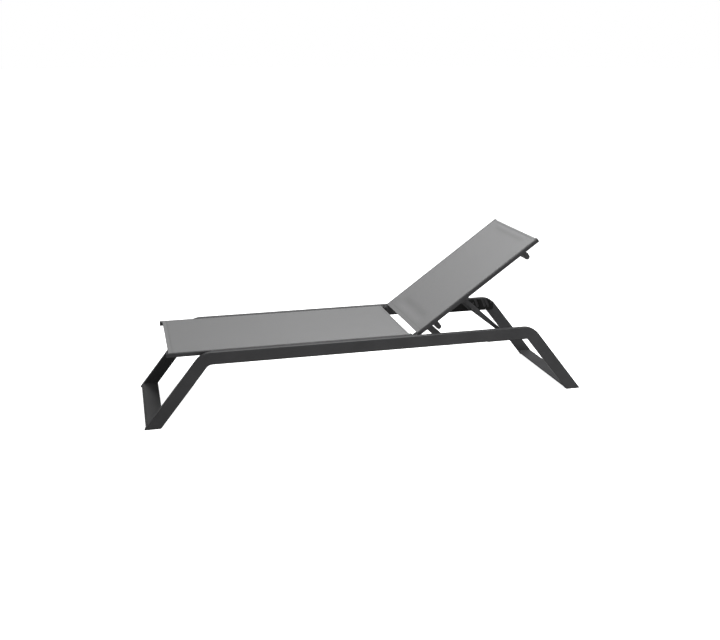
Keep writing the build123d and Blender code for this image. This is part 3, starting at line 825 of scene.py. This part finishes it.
    def sew(self, finishes: Finishes) -> bpy.types.Object:
        """Stitches along both hems.

        Each stitch is a small spindle: its radius falls from the middle to the ends as the square
        root of one minus the fourth power, and it dips at both ends into the cloth.

        Args:
            finishes: Materials of the lounger.

        Returns:
            One piece with all the stitches.
        """
        station = np.linspace(-self.stitch_tip, self.stitch_tip, self.stitch_rings)
        radius = self.thread * np.sqrt(1.0 - station ** 4)
        turn = np.linspace(0.0, 2 * math.pi, self.stitch_sides, endpoint=False)
        reach = self.groove_edge - 2 * MM
        places = np.arange(-reach, reach, self.stitch + self.stitch_gap) + self.stitch / 2
        first_hem, last_hem = self.hems
        ends = np.array([self.start + first_hem - self.seam_in, self.end - last_hem + self.seam_in])
        along = ends[:, None, None, None] + (radius[:, None] * np.cos(turn))[None, None]
        across = places[None, :, None, None] + (station * self.stitch / 2)[None, None, :, None]
        dip = self.stitch_dip * station ** 4
        on_hem = self.tube_top + self.offset + self.stitch_lift * self.cloth
        height = on_hem + (radius[:, None] * np.sin(turn) - dip[:, None])
        height = height[None, None] - self.lowering(ends[:, None, None, None], across)
        shift = self.pulled(ends[:, None, None, None], across)
        points = self.place.world(along + shift, across, height)
        count = len(ends) * len(places)
        one = grid_quads(len(station), len(turn), ring_cols=True)
        size = len(station) * len(turn)
        quads = (one[None] + (np.arange(count) * size)[:, None, None]).reshape(-1, 4).tolist()
        first = (np.arange(len(turn))[None] + (np.arange(count) * size)[:, None])
        caps = first.tolist() + (first + size - len(turn)).tolist()
        return new_piece(f"{self.name}_hem_stitches", points, quads + caps, self.body,
                         finishes.thread)


# ---- weld beads -----------------------------------------------------------------------------


@dataclass(frozen=True)
class Bead:
    """A weld bead round the end of a bar."""

    radius: float = 1.7 * MM
    ripple: float = 0.14            # share of the radius
    pitch: float = 2.4 * MM
    step: float = 0.6 * MM
    sides: int = 8
    look: int = 3                   # steps ahead and behind that give the walk's direction

    def points(self, outline: Array, wall: float) -> tuple[Array, Array]:
        """Bead round a closed outline of X and Z on a wall at one Y.

        The outline is walked in equal steps. At each, a circle stands across the walk, and its
        radius swells and shrinks with the pitch, as molten drops leave it.

        Args:
            outline: Corners of the bar's end.
            wall: Y of the face that the bar ends on.

        Returns:
            The points and the quads.
        """
        closed = np.concatenate([outline, outline[:1]])
        walked = np.concatenate([[0.0], np.cumsum(np.linalg.norm(np.diff(closed, axis=0), axis=1))])
        count = int(walked[-1] / self.step)
        at = np.linspace(0.0, walked[-1], count, endpoint=False)
        path = np.stack([np.interp(at, walked, closed[:, 0]), np.interp(at, walked, closed[:, 1])], axis=1)
        ahead = np.roll(path, -self.look, axis=0) - np.roll(path, self.look, axis=0)
        ahead /= np.linalg.norm(ahead, axis=1, keepdims=True)
        out = np.stack([ahead[:, 1], -ahead[:, 0]], axis=1)
        whole = round(walked[-1] / self.pitch)
        swell = self.radius * (1 + self.ripple * np.sin(2 * math.pi * whole * at / walked[-1]))
        turn = np.linspace(0.0, 2 * math.pi, self.sides, endpoint=False)
        side = swell[:, None] * np.cos(turn)
        points = np.stack([
            path[:, :1] + out[:, :1] * side,
            wall + swell[:, None] * np.sin(turn),
            path[:, 1:] + out[:, 1:] * side,
        ], axis=-1)
        return points.reshape(-1, 3), grid_quads(count, len(turn), ring_rows=True, ring_cols=True)


def slanted_outline(low: Vector, high: Vector, slope: float) -> Array:
    """Four corners of a bar whose sides lean by `slope` of its height along X.

    Args:
        low: Lowest corner of the bar's box.
        high: Highest corner.
        slope: X per unit of height; below zero for a lean the other way.

    Returns:
        X and Z of the four corners.
    """
    lean = (high.z - low.z) * slope
    if lean > 0:
        corners = [(low.x, low.z), (high.x - lean, low.z), (high.x, high.z), (low.x + lean, high.z)]
    else:
        corners = [(low.x - lean, low.z), (high.x, low.z), (high.x + lean, high.z), (low.x, high.z)]
    return np.array(corners)


def oval_outline(low: Vector, high: Vector) -> Array:
    """An upright oval: half circles above and below two straight sides.

    Args:
        low: Lowest corner of the oval's box.
        high: Highest corner.

    Returns:
        X and Z of its points.
    """
    radius = (high.x - low.x) / 2
    middle = (low.x + high.x) / 2
    return np.concatenate([arc((middle, low.z + radius), radius, 180, 360, 12),
                           arc((middle, high.z - radius), radius, 0, 180, 12)])


@dataclass
class Welds:
    """Weld beads where bars end on the side frames."""

    leg_slope: float = 1 / math.tan(math.radians(51.55))
    bead: Bead = Bead()

    def outlines(self) -> dict[str, Array]:
        """Outline of each welded bar's end."""
        found = {}
        for end, lean in (("foot", self.leg_slope), ("head", -self.leg_slope)):
            found[f"{end}_floor_bar"] = slanted_outline(*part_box(f"{end}_floor_bar"), lean)
        found["hinge_beam"] = slanted_outline(*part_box("hinge_beam"), 0.0)
        for name in ("seat_foot_stretcher", "seat_middle_stretcher", "seat_rear_stretcher"):
            found[name] = oval_outline(*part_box(name))
        return found

    def build(self, finishes: Finishes) -> None:
        """Make one piece of beads for each bar, a bead at both ends."""
        for name, outline in self.outlines().items():
            low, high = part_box(name)
            points, quads = self.bead.points(outline, low.y)
            others = self.bead.points(outline, high.y)[0]
            faces = np.concatenate([quads, quads + len(points)])
            new_piece(f"{name}_welds", np.concatenate([points, others]), faces.tolist(), Body.FRAME,
                      finishes.paint)


# ---- studio ---------------------------------------------------------------------------------


@dataclass(frozen=True)
class Lamp:
    """A soft rectangular light, out of the camera's sight."""

    name: str
    at: tuple[float, float, float]
    aim: tuple[float, float, float]
    size: tuple[float, float]
    power: float

    def build(self) -> None:
        """Place the light and turn it to its aim."""
        data = bpy.data.lights.new(self.name, "AREA")
        data.shape = "RECTANGLE"
        data.size, data.size_y = self.size
        data.energy = self.power
        lamp = bpy.data.objects.new(self.name, data)
        lamp.location = self.at
        lamp.rotation_euler = (Vector(self.aim) - Vector(self.at)).to_track_quat("-Z", "Y").to_euler()
        lamp.visible_camera = False
        bpy.context.scene.collection.objects.link(lamp)


@dataclass
class Studio:
    """Pale floor, soft lights and the camera."""

    lamps: tuple[Lamp, ...] = (
        Lamp("overhead", (0.5, 0.0, 2.8), (0.3, 0.0, 0.3), (2.6, 2.2), 111.0),
        Lamp("front_high", (0.3, -3.2, 3.4), (0.0, 0.0, 0.3), (3.4, 2.2), 59.0),
        Lamp("head_side", (4.2, -1.2, 2.4), (0.0, 0.0, 0.3), (2.4, 2.2), 70.0),
        Lamp("back_panel", (-0.8, 6.5, 2.4), (0.0, 0.0, 0.4), (6.6, 2.6), 15.0),
    )
    ambient: float = 0.19           # light from all round
    seen: float = 1.0               # brightness of the background itself
    floor_bounce: float = 0.35      # how much light the floor throws back
    floor_glow: float = 0.95
    floor_radius: float = 60.0
    camera_at: tuple[float, float, float] = (-1.1393, -4.4168, 1.7421)
    camera_yaw: float = 14.49
    camera_pitch: float = 16.78
    lens: float = 46.3

    def build(self) -> None:
        """Make the floor, the world, the lights and the camera."""
        self.lay_floor()
        world = bpy.data.worlds.new("studio")
        world.use_nodes = True
        tree = Tree(world.node_tree)
        in_view = tree.node("ShaderNodeLightPath").outputs["Is Camera Ray"]
        strength = tree.fit(in_view, (0.0, 1.0), (self.ambient, self.seen))
        sky = tree.node("ShaderNodeBackground", {"Color": WHITE, "Strength": strength})
        tree.node("ShaderNodeOutputWorld", {"Surface": sky.outputs["Background"]})
        bpy.context.scene.world = world
        bpy.context.scene.view_settings.view_transform = "Standard"
        for lamp in self.lamps:
            lamp.build()
        self.set_camera()

    def lay_floor(self) -> None:
        """Make the round pale floor just under the feet."""
        rim = arc((0.0, 0.0), self.floor_radius, 0, 360, 97)[:-1]
        mesh = bpy.data.meshes.new("floor")
        mesh.from_pydata(np.pad(rim, ((0, 0), (0, 1))).tolist(), [], [list(range(len(rim)))])
        material, tree, surface = start_material("pale_floor")
        place = tree.node("ShaderNodeTexCoord").outputs["Object"]
        pale = tree.blend(tree.noise(place, 1.2, 3.0), (0.83, 0.83, 0.83), (0.86, 0.86, 0.86))
        in_view = tree.node("ShaderNodeLightPath").outputs["Is Camera Ray"]
        bounce = (self.floor_bounce, self.floor_bounce, self.floor_bounce, 1.0)
        tree.put(surface.inputs["Base Color"], tree.mix(in_view, bounce, pale))
        surface.inputs["Roughness"].default_value = 0.8
        surface.inputs["Emission Color"].default_value = WHITE
        tree.put(surface.inputs["Emission Strength"], tree.math("MULTIPLY", in_view, self.floor_glow))
        mesh.materials.append(material)
        floor = bpy.data.objects.new("floor", mesh)
        bpy.context.scene.collection.objects.link(floor)

    def set_camera(self) -> None:
        """Place the camera by its yaw from +Y to +X and its pitch down."""
        yaw, pitch = math.radians(self.camera_yaw), math.radians(self.camera_pitch)
        ahead = Vector((math.sin(yaw) * math.cos(pitch), math.cos(yaw) * math.cos(pitch), -math.sin(pitch)))
        data = bpy.data.cameras.new("camera")
        data.lens = self.lens
        camera = bpy.data.objects.new("camera", data)
        camera.location = self.camera_at
        camera.rotation_euler = ahead.to_track_quat("-Z", "Y").to_euler()
        bpy.context.scene.collection.objects.link(camera)
        bpy.context.scene.camera = camera


# ---- lounger --------------------------------------------------------------------------------


def slings() -> list[Sling]:
    """Both slings, placed by the recline hinge and the angle at which the back rests."""
    hinge = next(joint for joint in frame["joints"] if joint["name"] == "back_recline")
    x, _, z = hinge["pos_m"]
    rest = math.radians(-hinge["range_deg"][0])
    seat_bands = (Band(LIT_MASK, 9 * MM, 6 * MM, 0.35, 0.26), Band(LIT_MASK, -3 * MM, 3 * MM, 0.4, 0.26))
    back_bands = (
        Band(LIT_MASK, 52 * MM, 16 * MM, 0.5), Band(SHADE_MASK, 96 * MM, 16 * MM, 0.5),
        Band(SHADE_MASK, -41 * MM, 13 * MM, 0.55), Band(LIT_MASK, -22 * MM, 9 * MM, 0.35),
    )
    return [
        Sling("seat", Body.FRAME, Place(x, z, 0.0), (23 * MM, 12 * MM), seat_bands),
        Sling("back", Body.BACKREST, Place(x, z, rest), (25 * MM, 12 * MM), back_bands),
    ]


def main() -> None:
    """Build the studio and the lounger's pieces in order."""
    logging.basicConfig(level=logging.INFO, format="%(name)s: %(message)s")
    Studio().build()
    finishes = Finishes.make()
    finishes.dress_frame()
    for sling in slings():
        sling.build(finishes)
    Welds().build(finishes)


if __name__ == "__main__":
    main()
